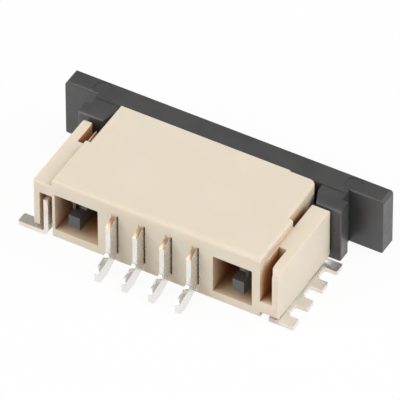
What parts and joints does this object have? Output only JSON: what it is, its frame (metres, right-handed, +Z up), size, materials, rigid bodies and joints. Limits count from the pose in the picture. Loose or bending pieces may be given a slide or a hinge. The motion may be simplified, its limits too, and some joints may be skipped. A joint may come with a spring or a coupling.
{
  "type": "fpc connector",
  "caption": "Right-angle surface-mount connector for flat flexible cable, with a pull-open slider, fork contacts and comb-footed hold-downs.",
  "frame": {"origin": "middle of the whole outline, on the plane of the circuit board, slider shut", "axes": "+X along the row of contacts, +Y out of the cable mouth and the way the slider opens, +Z up from the board"},
  "size_m": [0.012, 0.0064, 0.0025],
  "materials": {
    "housing_plastic": "cream glass-filled nylon, fine satin",
    "slider_plastic": "charcoal moulded plastic, satin",
    "tin_plate": "bright tin plate with bare coppery cut edges"
  },
  "bodies": {
    "connector": {"housing": "housing_plastic", "contact_1": "tin_plate", "contact_2": "tin_plate", "contact_3": "tin_plate", "contact_4": "tin_plate", "hold_down_left": "tin_plate", "hold_down_right": "tin_plate"},
    "lock": {"slider": "slider_plastic"}
  },
  "joints": [
    {"name": "slider_slide", "type": "slide", "parent": "connector", "child": "lock", "axis": [0, 1, 0], "range_m": [0, 0.0012]}
  ]
}
